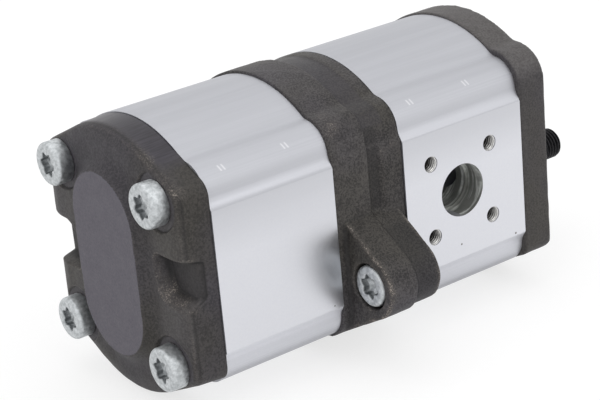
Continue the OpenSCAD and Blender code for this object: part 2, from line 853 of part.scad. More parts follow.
module front_driven_gear() {
    color(steel) {
        gear_teeth(front_mesh_x, front_gear_w, centre_distance, driven_phase);
        journals(x_body_back, x_body_front, centre_distance);
    }
}

module front_cover_body_seal() {
    color(rubber) body_seal(x_body_front, 1);
}

module front_cover() {
    color(cast_iron) difference() {
        union() {
            along_x(x_body_front, front_cover_len) front_cover_outline();
            rod_x(-overlap, pilot_h + overlap, pilot_d / 2);
        }
        rod_x(x_body_front - overlap, front_cover_len + pilot_h + 2 * overlap, cover_hole_r);
        rod_x(seal_floor_x, seal_seat_depth + overlap, seal_d / 2);
        rod_x(ring_x - seat_gap, ring_w + 2 * seat_gap, seal_d / 2 + ring_groove_depth);
        at_diagonal(1) rod_x(x_body_front - overlap, front_thread_grip + tap_spare + overlap, tapped_r);
        at_diagonal(-1) rod_x(x_body_front - overlap, front_cover_len + 2 * overlap, screw_hole_r);
        dowel_rods(x_body_front, seat_gap);
    }
}

// Half profile of the lip seal: case, web and lip
module shaft_seal() {
    lip_r = journal_d / 2 + seat_gap;
    case_r = seal_d / 2 - seat_gap / 5;
    wall = 2.2;
    x_floor = seal_floor_x;
    x_top = x_floor + seal_w;
    color(rubber) turned_x() polygon([
        [case_r, x_floor], [case_r, x_top], [lip_r + 0.6, x_top], [lip_r + 0.6, x_top - wall / 2],
        [lip_r + wall, x_top - wall], [lip_r, x_top - 1.8 * wall], [lip_r, x_top - 2.1 * wall],
        [lip_r + 1.2 * wall, x_floor + wall / 2], [case_r - wall, x_top - wall],
        [case_r - wall, x_floor]]);
}

module seal_retaining_ring() {
    outer_r = seal_d / 2 + ring_groove_depth - seat_gap;
    inner_r = seal_d / 2 - 2.4;
    lug_r = 2.2;
    color(steel) difference() {
        rod_x(ring_x, ring_w, outer_r);
        rod_x(ring_x - overlap, ring_w + 2 * overlap, inner_r);
        translate([ring_x - overlap, -lug_r, -seal_d]) cube([ring_w + 2 * overlap, 2 * lug_r, seal_d]);
    }
}

rear_cover();
rear_cover_screws();
rear_cover_body_seal();
rear_body();
rear_stage_dowels();
rear_bearing_block_back();
rear_bearing_block_front();
rear_stage_bushes();
rear_pressure_field_seals();
rear_seal_backup_rings();
rear_drive_gear();
rear_driven_gear();
rear_flange_body_seal();
coupling_flange();
adapter_plate();
ear_screws();
flange_spigot_seal();
gallery_seal();
drive_coupling();
front_stage_screws();
front_adapter_body_seal();
front_body();
front_stage_dowels();
front_bearing_block_back();
front_bearing_block_front();
front_stage_bushes();
front_pressure_field_seals();
front_seal_backup_rings();
front_drive_gear_shaft();
front_driven_gear();
front_cover_body_seal();
front_cover();
shaft_seal();
seal_retaining_ring();
shaft_key();
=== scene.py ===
import json
import math

import bmesh
import bpy
import numpy as np
from mathutils import Matrix, Vector


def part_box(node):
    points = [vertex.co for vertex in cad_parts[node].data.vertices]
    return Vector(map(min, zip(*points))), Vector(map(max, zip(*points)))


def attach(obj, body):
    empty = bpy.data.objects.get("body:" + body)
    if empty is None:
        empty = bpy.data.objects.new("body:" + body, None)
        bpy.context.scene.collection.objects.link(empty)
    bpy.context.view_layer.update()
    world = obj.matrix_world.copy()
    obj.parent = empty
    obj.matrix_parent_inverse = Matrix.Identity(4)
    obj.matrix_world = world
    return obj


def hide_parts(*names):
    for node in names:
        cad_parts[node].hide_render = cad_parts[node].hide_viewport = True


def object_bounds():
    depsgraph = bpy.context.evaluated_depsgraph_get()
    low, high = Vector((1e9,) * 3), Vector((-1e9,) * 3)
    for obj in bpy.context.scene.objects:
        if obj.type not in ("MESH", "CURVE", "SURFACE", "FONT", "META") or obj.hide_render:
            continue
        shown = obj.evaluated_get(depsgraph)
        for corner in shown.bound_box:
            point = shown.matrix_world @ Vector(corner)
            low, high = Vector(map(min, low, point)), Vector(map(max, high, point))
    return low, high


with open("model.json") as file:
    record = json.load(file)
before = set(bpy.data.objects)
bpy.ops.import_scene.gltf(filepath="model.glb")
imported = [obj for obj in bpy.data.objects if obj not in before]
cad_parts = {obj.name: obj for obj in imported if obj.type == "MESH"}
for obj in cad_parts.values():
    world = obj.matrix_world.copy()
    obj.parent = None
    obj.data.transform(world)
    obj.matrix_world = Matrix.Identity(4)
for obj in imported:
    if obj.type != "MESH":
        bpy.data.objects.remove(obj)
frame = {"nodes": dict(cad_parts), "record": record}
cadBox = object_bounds()
nodes = frame["nodes"]
mounts = {mount["name"]: mount for mount in frame["record"]["mounts"]}
mm = 0.001
midHeight = mounts["suction_port"]["pos_m"][2] / mm  # the housing's middle, halfway between the gear axes
rng = np.random.default_rng(7)
print("frame loaded:", len(nodes), "nodes")


def linkedObject(name, data):
    thing = bpy.data.objects.new(name, data)
    bpy.context.scene.collection.objects.link(thing)
    return thing


# camera

cameraSetup = dict(
    place=(-0.4762, -0.5458, 0.2840),  # m
    azimuth=-35.63,  # degrees round the pump, 0 looks along +Y
    elevation=21.85,
    roll=5.28,
    focalLength=117.65,  # mm
    sensorWidth=36.0,
    nearClip=0.01,  # m
)


def makeCamera(setup):
    # stands at its place, looks against the direction of azimuth and elevation, and rolls about that line
    azimuth, elevation, roll = (math.radians(setup[key]) for key in ("azimuth", "elevation", "roll"))
    back = Vector((math.sin(azimuth) * math.cos(elevation), -math.cos(azimuth) * math.cos(elevation),
                   math.sin(elevation)))
    camera = linkedObject("camera", bpy.data.cameras.new("camera"))
    turn = (-back).to_track_quat("-Z", "Y").to_matrix() @ Matrix.Rotation(-roll, 3, "Z")
    camera.matrix_world = Matrix.Translation(setup["place"]) @ turn.to_4x4()
    camera.data.lens = setup["focalLength"]
    camera.data.sensor_width = setup["sensorWidth"]
    camera.data.clip_start = setup["nearClip"]
    bpy.context.scene.camera = camera


makeCamera(cameraSetup)
print("camera placed")


# mesh helpers

def gridFaces(rows, columns):
    # quads between neighbouring rows of a grid whose last column joins its first
    row = np.arange(rows - 1)[:, None]
    column = np.arange(columns)[None, :]
    after = (column + 1) % columns
    here, above = row * columns, (row + 1) * columns
    quads = np.broadcast_arrays(here + column, here + after, above + after, above + column)
    return np.stack(quads, -1).reshape(-1, 4)


def ringedSolid(rings):
    # rings is an array of closed rings (rows, columns, 3); the first and the last are closed to their middles
    rows, columns, _ = rings.shape
    poles = np.stack([rings[0].mean(0), rings[-1].mean(0)])
    points = np.concatenate([rings.reshape(-1, 3), poles])
    column = np.arange(columns)
    after = (column + 1) % columns
    first = np.stack([np.full(columns, rows * columns), after, column], -1)
    lastRow = (rows - 1) * columns
    last = np.stack([np.full(columns, rows * columns + 1), lastRow + column, lastRow + after], -1)
    return points, [gridFaces(rows, columns), first, last]


def turnedRings(along, radius, turn):
    # rings round X: each point at its length along X, with its radius turned by its angle into Y and Z
    return np.stack(np.broadcast_arrays(along, radius * np.cos(turn), radius * np.sin(turn)), -1)


def joined(pieces):
    # several pieces as one: their points in a row, and their faces counted on
    allPoints, allFaces, count = [], [], 0
    for points, faceSets in pieces:
        allPoints.append(points)
        allFaces += [faces + count for faces in faceSets]
        count += len(points)
    return np.concatenate(allPoints), allFaces


def facingOut(points, faceSets):
    # turns every face round if the enclosed volume comes out negative
    volume = 0.0
    for faces in faceSets:
        corner = points[faces]
        for k in range(1, faces.shape[1] - 1):
            volume += np.einsum("ij,ij->", corner[:, 0], np.cross(corner[:, k], corner[:, k + 1]))
    return [faces[:, ::-1] for faces in faceSets] if volume < 0 else faceSets


def readArray(items, key, width=3, kind=float):
    # one row of numbers for each of a mesh's points, edges or faces
    values = np.empty(len(items) * width, kind)
    items.foreach_get(key, values)
    return values.reshape(-1, width)


def carryShares(mesh, shares, domain="POINT"):
    # the shares of the finishes, which the materials read
    for key, values in shares.items():
        mesh.attributes.new(key, "FLOAT", domain).data.foreach_set("value", values.astype(np.float32))


def makePiece(name, points, faceSets, body, slot, material, replaced=(), shares=None):
    # a closed surface with its faces turned outwards; points in mm, in the pump's frame
    mesh = bpy.data.meshes.new(name)
    faces = [face for faces in facingOut(points - points.mean(0), faceSets) for face in faces.tolist()]
    mesh.from_pydata((points * mm).tolist(), [], faces)
    carryShares(mesh, shares or {})
    finishPiece(mesh, name, body, material, replaced)


def finishPiece(mesh, name, body, material, replaced=()):
    # a smooth piece of one material that rides on its body and takes the place of CAD nodes
    mesh.validate()
    mesh.polygons.foreach_set("use_smooth", np.ones(len(mesh.polygons), bool))
    mesh.materials.clear()
    mesh.materials.append(material)
    piece = linkedObject(name, mesh)
    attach(piece, body)
    if replaced:
        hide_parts(*replaced)
    return piece


def mergedCopy(mesh):
    # a mesh's loose triangles joined into one closed shell
    copy = bmesh.new()
    copy.from_mesh(mesh)
    bmesh.ops.remove_doubles(copy, verts=copy.verts, dist=1e-6)
    return copy


def meshFrom(copy, name):
    mesh = bpy.data.meshes.new(name)
    copy.to_mesh(mesh)
    copy.free()
    return mesh


def softenEdges(piece, widthMm, degrees, weight):
    # a rounded chamfer on each edge sharper than degrees; the flat faces stay flat to the eye
    edge = piece.modifiers.new("edge_chamfer", "BEVEL")
    edge.width = widthMm * mm
    edge.segments = 2
    edge.limit_method = "ANGLE"
    edge.angle_limit = math.radians(degrees)
    piece.modifiers.new("flat_faces_stay_flat", "WEIGHTED_NORMAL").weight = weight


# material helpers

def colour(text):
    # sRGB hex to linear
    value = np.array([int(text[i:i + 2], 16) for i in (1, 3, 5)]) / 255
    linear = np.where(value <= 0.04045, value / 12.92, ((value + 0.055) / 1.055) ** 2.4)
    return (*linear.tolist(), 1.0)


def setSockets(tree, node, settings):
    # settings holds the node's own options and, for a socket, its value, a hex colour or what feeds it
    for key, value in settings.items():
        if isinstance(value, bpy.types.NodeSocket):
            tree.links.new(value, node.inputs[key])
        elif key == "stops":  # the two ends of a ramp, each a place and a hex colour
            for element, (place, text) in zip(node.color_ramp.elements, value):
                element.position, element.color = place, colour(text)
        elif isinstance(key, str) and hasattr(node, key):
            setattr(node, key, value)
        else:
            node.inputs[key].default_value = colour(value) if isinstance(value, str) else value


def addNode(tree, kind, settings, output=0):
    # adds a node with its settings and links and gives one output; a tuple fills the sockets in their order
    node = tree.nodes.new("ShaderNode" + kind)
    setSockets(tree, node, dict(enumerate(settings)) if isinstance(settings, tuple) else settings)
    return node.outputs[output]


def newMaterial(name):
    # a material, its node tree and the coordinates of the object it is on
    material = bpy.data.materials.new(name)
    material.use_nodes = True
    return material, material.node_tree, addNode(material.node_tree, "TexCoord", {}, "Object")


def dressed(material, settings, relief=None):
    # the material with these settings on its shader. A relief is what drives it, its depth in mm and strength
    tree = material.node_tree
    if relief:
        height, depthMm, strength = relief
        settings["Normal"] = addNode(tree, "Bump", {
            "Height": height, "Distance": depthMm * mm, "Strength": strength})
    setSockets(tree, tree.nodes["Principled BSDF"], settings)
    return material


def blotches(tree, place, patterns):
    # random blotches, one output for each pattern of width in mm, detail and roughness. A fourth value
    # lengthens them along X, Y and Z
    outputs = []
    for widthMm, detail, roughness, *stretch in patterns:
        start = place
        if stretch:
            start = addNode(tree, "Mapping", {"Scale": [1 / s for s in stretch[0]], "Vector": place})
        outputs.append(addNode(tree, "TexNoise", {
            "Scale": 1000 / widthMm, "Detail": detail, "Roughness": roughness, "Vector": start}))
    return outputs


def layered(tree, tone, layers):
    # each layer is a share and the colour that covers what is under it by that share
    for share, cover in layers:
        tone = addNode(tree, "Mix", {"data_type": "RGBA", 0: share, 6: tone, 7: cover}, 2)
    return tone


# materials

finishNames = ("worn", "milled", "turned", "pale", "sooty")  # shares that the castings carry at each point

ironLook = dict(
    darkGrain=((0.35, "#201e1d"), (0.65, "#222024")),  # warm and violet ends of the coat's slow drift
    paleGrain=((0.35, "#4e4b47"), (0.65, "#524f53")),
    soot="#1f1e1f",  # painted shade in the hollows and creases
    rubbed="#69625d",  # coat worn thin
    rubbedShare=0.45,
    bare="#a59c93",  # bare metal on rubbed edges
    milled=((0.35, "#55525a"), (0.65, "#615e66")),
    turned=((0.35, "#302e33"), (0.65, "#423f46")),
    # a paler tone; on faces that look up it is painted light
    pale=("#4a4746", "#6f6c6b"),
    gloss=0.25,  # the coat reflects less than a plain surface
    coatRoughness=(0.5, 0.62),
    turnedRoughness=(0.28, 0.42),
    contrast=0.45,  # how far the grain goes from the mean tone to the dark and pale ends
    grainMm=0.8,
    speckShare=0.7,  # width of the bare specks against the grain's
    mottleMm=5.0,
    mottleShare=0.2,
    driftMm=30.0,
    grainDepthMm=0.05,
)
sandyIronLook = dict(ironLook, contrast=0.75, grainMm=0.65, grainDepthMm=0.08)


def phosphatedCastIron(look):
    # sand-cast grey iron under a phosphate coat: matt, brown-black to violet, with a sandy grain, rubbed to
    # bare metal on its edges. A milled face is even; a turned rim is glossier, with fine lines along the pump
    material, tree, place = newMaterial("sand_cast_iron_phosphated")
    mottle, grain, speck, drift, lines = blotches(tree, place, (
        (look["mottleMm"], 3.0, 0.5), (look["grainMm"], 3.0, 0.7),
        (look["grainMm"] * look["speckShare"], 2.0, 0.6), (look["driftMm"], 1.0, 0.5),
        (0.9, 2.0, 0.6, (30, 1, 1))))
    worn, milled, turned, pale, sooty = (
        addNode(tree, "Attribute", {"attribute_name": name}, "Fac") for name in finishNames)
    dark, light, milledTone, turnedTone = (
        addNode(tree, "ValToRGB", {"Fac": source, "stops": look[key]}) for key, source in (
            ("darkGrain", drift), ("paleGrain", drift), ("milled", grain), ("turned", lines)))
    swing = look["contrast"] / 2
    sandy = addNode(tree, "Mix", {0: look["mottleShare"], 2: grain, 3: mottle})
    sandy = addNode(tree, "MapRange", (sandy, 0.42, 0.58, 0.5 - swing, 0.5 + swing))
    patchy = addNode(tree, "MapRange", (mottle, 0.4, 0.6, 0.25, 1.0))
    patchy = addNode(tree, "Math", {"operation": "MULTIPLY", 0: worn, 1: patchy})
    rubbed = addNode(tree, "Math", {"operation": "MULTIPLY", 0: patchy, 1: look["rubbedShare"]})
    bare = addNode(tree, "MapRange", (speck, 0.53, 0.62, 0.0, 1.0))
    bare = addNode(tree, "Math", {"operation": "MULTIPLY", 0: patchy, 1: bare})
    paleTone = layered(tree, look["pale"][0], [(sandy, look["pale"][1])])
    # painted light on the paler places that look up and painted shade in the hollows are layered into the
    # tone
    tone = layered(tree, dark, (
        (sandy, light), (pale, paleTone), (sooty, look["soot"]), (turned, turnedTone),
        (rubbed, look["rubbed"]), (bare, look["bare"]), (milled, milledTone)))
    coarse = addNode(tree, "MapRange", (mottle, 0.3, 0.7, *look["coatRoughness"]))
    smooth = addNode(tree, "MapRange", (lines, 0.3, 0.7, *look["turnedRoughness"]))
    relief = addNode(tree, "Mix", {0: 0.25, 2: 0.5, 3: lines})
    relief = addNode(tree, "Mix", {0: turned, 2: grain, 3: relief})
    relief = addNode(tree, "Mix", {0: milled, 2: relief, 3: 0.5})
    return dressed(material, {
        "Metallic": 0.0, "Specular IOR Level": look["gloss"], "Base Color": tone,
        "Roughness": addNode(tree, "Mix", {0: turned, 2: coarse, 3: smooth})},
        (relief, look["grainDepthMm"], 0.8))


aluminiumLook = dict(
    drawn=((0.35, "#b7b8bd"), (0.65, "#bbbcc1")),
    drawnRoughness=(0.55, 0.61),
    flat=((0.3, "#d9dae0"), (0.7, "#dddee3")),
    flatRoughness=(0.3, 0.36),
    flatPaintedShade=(8.0, 27.0),  # mm over the middle between which painted shade darkens the flat towards the lobe's tone
    flatFadeEnd=0.4,  # share of the flat's tone that is left there
    drawLineMm=0.5,  # spacing of the drawing lines of the extrusion
    drawLineDepthMm=0.01,
    # painted highlight: the glint of the clamp marks
    tickGlint="#d6d6d9",
    tickPitch=26.4,  # mm between the two pairs of marks on a body
    tickFirst=(-142.7, -60.6),  # X of each body's rear pair
    tickRidge=(-37.6, 54.6),  # Y and Z of the lobe's ridge that they cross
    tickGap=1.5,
    tickWidth=0.5,
    tickLength=1.9,
    tickSlant=0.35,
    # painted shade inside the small nicks
    pitShade="#6d6a66",
    pits=((-105.0, -7.7, 0.35), (-18.0, -8.2, 0.5), (-16.9, -9.4, 0.3), (-44.9, -3.9, 0.45)),  # X, Z, radius
)


def clampMarksAndGlints(tree, place, look):
    # twin clamp marks on the lobe's ridge, small dents whose glint is painted as a bright tone: each is the
    # strip where a slanted line's distance in X is under half its width, within its length in Z
    x, y, z = addNode(tree, "SeparateXYZ", (place,)).node.outputs
    ridgeY, ridgeZ = look["tickRidge"]
    length = look["tickLength"] * mm / 2
    up = addNode(tree, "Math", {"operation": "SUBTRACT", 0: z, 1: ridgeZ * mm})
    straight = addNode(tree, "Math", {"operation": "MULTIPLY_ADD", 0: up, 1: look["tickSlant"], 2: x})
    reach = addNode(tree, "Math", {"operation": "ABSOLUTE", 0: up})
    inLength = addNode(tree, "MapRange", (reach, length * 0.75, length, 1.0, 0.0))
    onSide = addNode(tree, "MapRange", (y, (ridgeY + 8) * mm, (ridgeY + 9) * mm, 1.0, 0.0))
    marks = 0.0
    for middle in (first + step + side * look["tickGap"] / 2 for first in look["tickFirst"]
                   for step in (0, look["tickPitch"]) for side in (-1, 1)):
        away = addNode(tree, "Math", {"operation": "SUBTRACT", 0: straight, 1: middle * mm})
        away = addNode(tree, "Math", {"operation": "ABSOLUTE", 0: away})
        mark = addNode(tree, "MapRange", (away, 0.0, look["tickWidth"] * mm, 1.0, 0.0))
        marks = addNode(tree, "Math", {"operation": "MAXIMUM", 0: mark, 1: marks})
    for limit in (inLength, onSide):
        marks = addNode(tree, "Math", {"operation": "MULTIPLY", 0: marks, 1: limit})
    return marks


def smallPits(tree, place, look, flatY):
    # nicks in the flat on the suction side, the shade in them painted dark: within a small distance of a
    # point on the flat
    nicks = 0.0
    for x, z, radius in look["pits"]:
        middle = (x * mm, flatY * mm, z * mm)
        away = addNode(tree, "VectorMath", {"operation": "DISTANCE", 0: place, 1: middle}, "Value")
        nick = addNode(tree, "MapRange", (away, radius * 0.6 * mm, radius * mm, 1.0, 0.0))
        nicks = addNode(tree, "Math", {"operation": "MAXIMUM", 0: nick, 1: nicks})
    return nicks


def extrudedAluminium(look):
    # extruded aluminium alloy: satin, with fine drawing lines along the pump; the flats are milled and even,
    # and painted shade darkens them upwards. A few clamp marks with a painted glint, and nicks with painted
    # shade in them, come from handling
    material, tree, place = newMaterial("extruded_aluminium")
    lines, bands, clouds = blotches(tree, place, (
        (look["drawLineMm"], 2.0, 0.6, (120, 1, 1)), (4.0, 3.0, 0.6, (20, 1, 1)), (0.8, 3.0, 0.7)))
    flat, milled = (
        addNode(tree, "Attribute", {"attribute_name": name}, "Fac") for name in ("flat", "milled"))
    drawnTone = addNode(tree, "ValToRGB", {"Fac": bands, "stops": look["drawn"]})
    flatTone = addNode(tree, "ValToRGB", {"Fac": clouds, "stops": look["flat"]})
    height = addNode(tree, "SeparateXYZ", (place,), 2)
    # painted shade: the flat's milled tone darkens upwards
    low, high = ((midHeight + z) * mm for z in look["flatPaintedShade"])
    left = addNode(tree, "MapRange", (height, low, high, 1.0, look["flatFadeEnd"]))
    milled = addNode(tree, "Math", {"operation": "MULTIPLY", 0: milled, 1: left})
    nicks = smallPits(tree, place, look, mounts["suction_port"]["pos_m"][1] / mm)
    drawn = addNode(tree, "MapRange", (lines, 0.3, 0.7, *look["drawnRoughness"]))
    even = addNode(tree, "MapRange", (clouds, 0.3, 0.7, *look["flatRoughness"]))
    relief = addNode(tree, "Mix", {0: flat, 2: lines, 3: 0.5})
    return dressed(material, {
        "Metallic": 1.0, "Roughness": addNode(tree, "Mix", {0: flat, 2: drawn, 3: even}),
        "Base Color": layered(tree, drawnTone, (
            (milled, flatTone), (clampMarksAndGlints(tree, place, look), look["tickGlint"]), (nicks, look["pitShade"])))},
        (relief, look["drawLineDepthMm"], 0.6))


def boredAluminium():
    # the port's bore, drilled and stained by oil: green-grey with darker stained patches, and bright rings
    # round it that are painted highlights
    material, tree, place = newMaterial("bored_aluminium_oiled")
    rings, stain = blotches(tree, place, ((2.2, 2.0, 0.5, (9, 1, 9)), (4.0, 3.0, 0.5)))
    ringHighlight = addNode(tree, "MapRange", (rings, 0.42, 0.58, 0.0, 1.0))
    stainShare = addNode(tree, "MapRange", (stain, 0.45, 0.65, 0.0, 0.7))
    return dressed(material, {
        "Metallic": 0.35,
        "Base Color": layered(tree, "#82837f", ((ringHighlight, "#f2f4f0"), (stainShare, "#777974"))),
        "Roughness": addNode(tree, "MapRange", (stain, 0.3, 0.7, 0.3, 0.48))}, (rings, 0.03, 0.6))


def mottledFinish(name, pattern, tones, roughness, relief=None, paintedShadeColour=None, metallic=1.0, ior=1.5):
    # one pattern of blotches or tool marks drives the tone, the roughness and the relief, which is given as
    # its depth in mm, its strength and its own pattern if it has one. The share that the mesh carries as sunk
    # is painted shade in recesses and thread roots, and goes over to the painted shade colour
    material, tree, place = newMaterial(name)
    marks, = blotches(tree, place, [pattern])
    tone = addNode(tree, "ValToRGB", {"Fac": marks, "stops": tones})
    if paintedShadeColour:
        tone = layered(tree, tone, [(addNode(tree, "Attribute", {"attribute_name": "sunk"}, "Fac"), paintedShadeColour)])
    if relief:
        depthMm, strength, *own = relief
        relief = (blotches(tree, place, own)[0] if own else marks, depthMm, strength)
    return dressed(material, {
        "Metallic": metallic, "IOR": ior, "Base Color": tone,
        "Roughness": addNode(tree, "MapRange", (marks, 0.3, 0.7, *roughness))}, relief)


finish = {
    "cast_iron": phosphatedCastIron(ironLook),
    "body_aluminium": extrudedAluminium(aluminiumLook),
    # cold-headed steel, zinc plated: pale blue-grey with a soft mottled gloss, and painted shade in the
    # recess
    "zinc_plated_steel": mottledFinish("zinc_plated_steel", (1.4, 4.0, 0.65),
                                       ((0.33, "#a7abad"), (0.67, "#d8dbdd")), (0.46, 0.62),
                                       (0.05, 0.8, (0.5, 2.0, 0.6)), "#4c5053"),
    # turned aluminium bearing alloy: dull pale grey with close tool marks
    "block_aluminium": mottledFinish("turned_aluminium", (0.6, 2.0, 0.5, (1, 14, 14)),
                                     ((0.3, "#b2b3b5"), (0.7, "#cbccce")), (0.36, 0.5), (0.02, 0.5)),
    # rolled bronze bush: warm brown-yellow with darker oiled patches
    "bush_bronze": mottledFinish("bearing_bronze", (2.5, 3.0, 0.5),
                                 ((0.3, "#8d6c3f"), (0.7, "#b8935a")), (0.3, 0.45)),
    # moulded nylon: creamy and waxy, a little uneven in tone
    "nylon": mottledFinish("moulded_nylon", (3.0, 2.0, 0.5),
                           ((0.3, "#d6d0be"), (0.7, "#e4dfd0")), (0.4, 0.5), metallic=0.0, ior=1.53),
    # moulded nitrile rubber: black and matt with a faint bloom
    "seal_rubber": mottledFinish("nitrile_rubber", (1.8, 3.0, 0.5),
                                 ((0.35, "#141414"), (0.7, "#232322")), (0.55, 0.75), (0.02, 0.4),
                                 metallic=0.0, ior=1.52),
    # hardened steel with a black oxide finish: nearly black, a low gloss with paler rubbed patches
    "blackened_steel": mottledFinish("black_oxide_steel", (1.2, 4.0, 0.6),
                                     ((0.35, "#161618"), (0.75, "#2c2c2f")), (0.32, 0.5), (0.02, 0.5),
                                     metallic=0.7),
    # case-hardened steel, ground and lapped: bright grey with fine grinding lines round the axis
    "ground_steel": mottledFinish("ground_steel", (0.5, 2.0, 0.5, (1, 20, 20)),
                                  ((0.3, "#8d8f92"), (0.7, "#abadb0")), (0.22, 0.34), (0.01, 0.5)),
}
boreFinish = boredAluminium()
# freshly cut thread in aluminium: bright crests, with painted shade in the roots, deeper in the hole and on
# its upper side
threadFinish = mottledFinish("tapped_aluminium", (0.8, 2.0, 0.5),
                             ((0.3, "#cfcecc"), (0.7, "#efeeec")), (0.25, 0.4), paintedShadeColour="#2c2a29")
sandyIron = phosphatedCastIron(sandyIronLook)
for part in frame["record"]["subparts"]:
    nodes[part["node"]].data.materials.clear()
    nodes[part["node"]].data.materials.append(finish[part["material_slot"]])
print("materials made:", len(finish))


# rear cover casting

rearCover = dict(
    barrelRadius=50.0,  # mm, at the joint
    flat=42.4,
    cornerRadius=6.0,
    cornerHeight=31.2,  # of the corner's middle over the pump's middle
    screwOffset=30.0,
    faceHeight=11.7,  # joint to the cast face at its rim
    swell=1.6,  # how much higher the face is a little way inside the rim
    swellWidth=6.5,
    draft=0.9,  # how far the rim leans in up to the face
    rimFillet=1.2,
    padHeight=3.7,
    padHalfWidth=19.0,
    padReach=15.3,  # from the middle to the centre of the pad's round ends
    padFlank=5.6,
    spotRadius=10.6,
    spotHeight=12.4,  # joint to the floors of the spotfaces
    scoopInner=24.3,  # the scoop's inner rim, from the middle plane
    scoopSteepEnd=11.2,  # the end with the tight corner and the steep wall
    scoopSteepCorner=3.5,
    scoopSteepSlope=2.2,
    scoopEasyEnd=-8.0,  # the end with the wide corner
    scoopEasyCorner=9.0,
    scoopEasySlope=5.0,
    scoopFloor=7.4,  # over the joint
    scoopRimFillet=3.0,
    wallWearAndHighlightTo=40.0,  # from the middle plane; up to here the scoops' lower walls carry bare specks, partly wear and partly a painted highlight
    probe=0.8,  # distance of the places whose height tells an edge from a hollow
    edgeBulge=0.24,  # how far a fully rubbed edge stands out over the places round it
    hollowDepth=0.3,
    rubbedPlaces=(  # Y and Z of the middle, radius and share of wear, on one side; the half turn has the same
        (-25.0, -6.5, 5.0, 1.0),
        (-34.0, -9.5, 5.0, 0.9),
        (-38.0, 34.5, 5.0, 1.0),
        (-24.0, 41.0, 8.0, 0.5),
    ),
    rubbedElsewhere=0.25,
    unevenness=0.06,
    unevennessWidth=9.0,
    barrelFrom=0.76,  # sine of the angle from which the rim is the turned barrel
    columns=720,
    faceRows=122,
    sideRows=12,
)


def softStep(t):
    # 0 below 0, 1 above 1, and an S of three squares less two cubes between
    t = np.clip(t, 0, 1)
    return t * t * (3 - 2 * t)


def outlineRadius(angle, form):
    # how far a ray from the middle at each angle runs: to the flat, to the round corner beside it, to the
    # straight side that touches both corner and barrel, or to the barrel. Mirrored to all four quarters
    barrel, radius = form["barrelRadius"], form["cornerRadius"]
    cornerY, cornerZ = form["flat"] - radius, form["cornerHeight"]
    away, toCorner = math.hypot(cornerY, cornerZ), math.atan2(cornerZ, cornerY)
    lean = toCorner + math.acos((barrel - radius) / away)
    folded = np.arctan2(np.abs(np.sin(angle)), np.abs(np.cos(angle)))
    flatEnd = math.atan2(cornerZ, form["flat"])
    cornerEnd = math.atan2(cornerZ + radius * math.sin(lean), cornerY + radius * math.cos(lean))
    sideways = away * np.sin(folded - toCorner)
    corner = away * np.cos(folded - toCorner) + np.sqrt(np.maximum(radius ** 2 - sideways ** 2, 0))
    flat = form["flat"] / np.maximum(np.cos(folded), 1e-6)
    straight = barrel / np.cos(folded - lean)
    places = [folded < flatEnd, folded < cornerEnd, folded < lean]
    return np.select(places, [flat, corner, straight], barrel)


def softenedOutline(form, count=1440, blurDegrees=0.5):
    # the outline's radius against angle, blurred a little so that its corners are round, and the cosine of
    # the angle between ray and normal. The first angle comes again at the end, a turn later
    angle = np.linspace(0, 2 * math.pi, count, endpoint=False)
    reach = outlineRadius(angle, form)
    offset = np.arange(-12, 13)
    weight = np.exp(-0.5 * (offset * 360 / count / blurDegrees) ** 2)
    soft = sum(w * np.roll(reach, k) for k, w in zip(offset, weight / weight.sum()))
    slope = (np.roll(soft, -1) - np.roll(soft, 1)) / (2 * 2 * math.pi / count)
    steep = np.cos(np.arctan(slope / soft))
    return np.append(angle, 2 * math.pi), np.append(soft, soft[0]), np.append(steep, steep[0])


def wobble(a, b, amplitude, sizeMm, waves=7):
    # a sum of sine waves in random directions, for the unevenness of a casting
    total = np.zeros_like(a)
    for direction, phase, stretch in zip(rng.uniform(0, math.pi, waves), rng.uniform(0, 6.28, waves),
                                         rng.uniform(0.6, 1.6, waves)):
        step = 2 * math.pi / (sizeMm * stretch)
        total += np.sin((a * math.cos(direction) + b * math.sin(direction)) * step + phase)
    return amplitude * total / math.sqrt(waves)


def roundedInside(first, second, corner):
    # distance inside two walls that meet in a corner of the given radius
    plain = np.minimum(first, second)
    inCorner = (first < corner) & (second < corner)
    return np.where(inCorner, corner - np.hypot(corner - first, corner - second), plain)


def dugShare(y, z, form):
    # the two scoops are each other's half turn. The share dug out is a soft step of the distance inside the
    # inner wall and the two ends, steep at one end and easy at the other
    along = np.where(y < 0, 1.0, -1.0) * z
    inner = np.abs(y) - form["scoopInner"]
    steep = roundedInside(inner, form["scoopSteepEnd"] - along, form["scoopSteepCorner"])
    easy = roundedInside(inner, along - form["scoopEasyEnd"], form["scoopEasyCorner"])
    share = softStep((form["scoopSteepEnd"] - along) / (form["scoopSteepEnd"] - form["scoopEasyEnd"]))
    slope = form["scoopSteepSlope"] + (form["scoopEasySlope"] - form["scoopSteepSlope"]) * share
    return softStep(np.minimum(steep, easy) / slope)


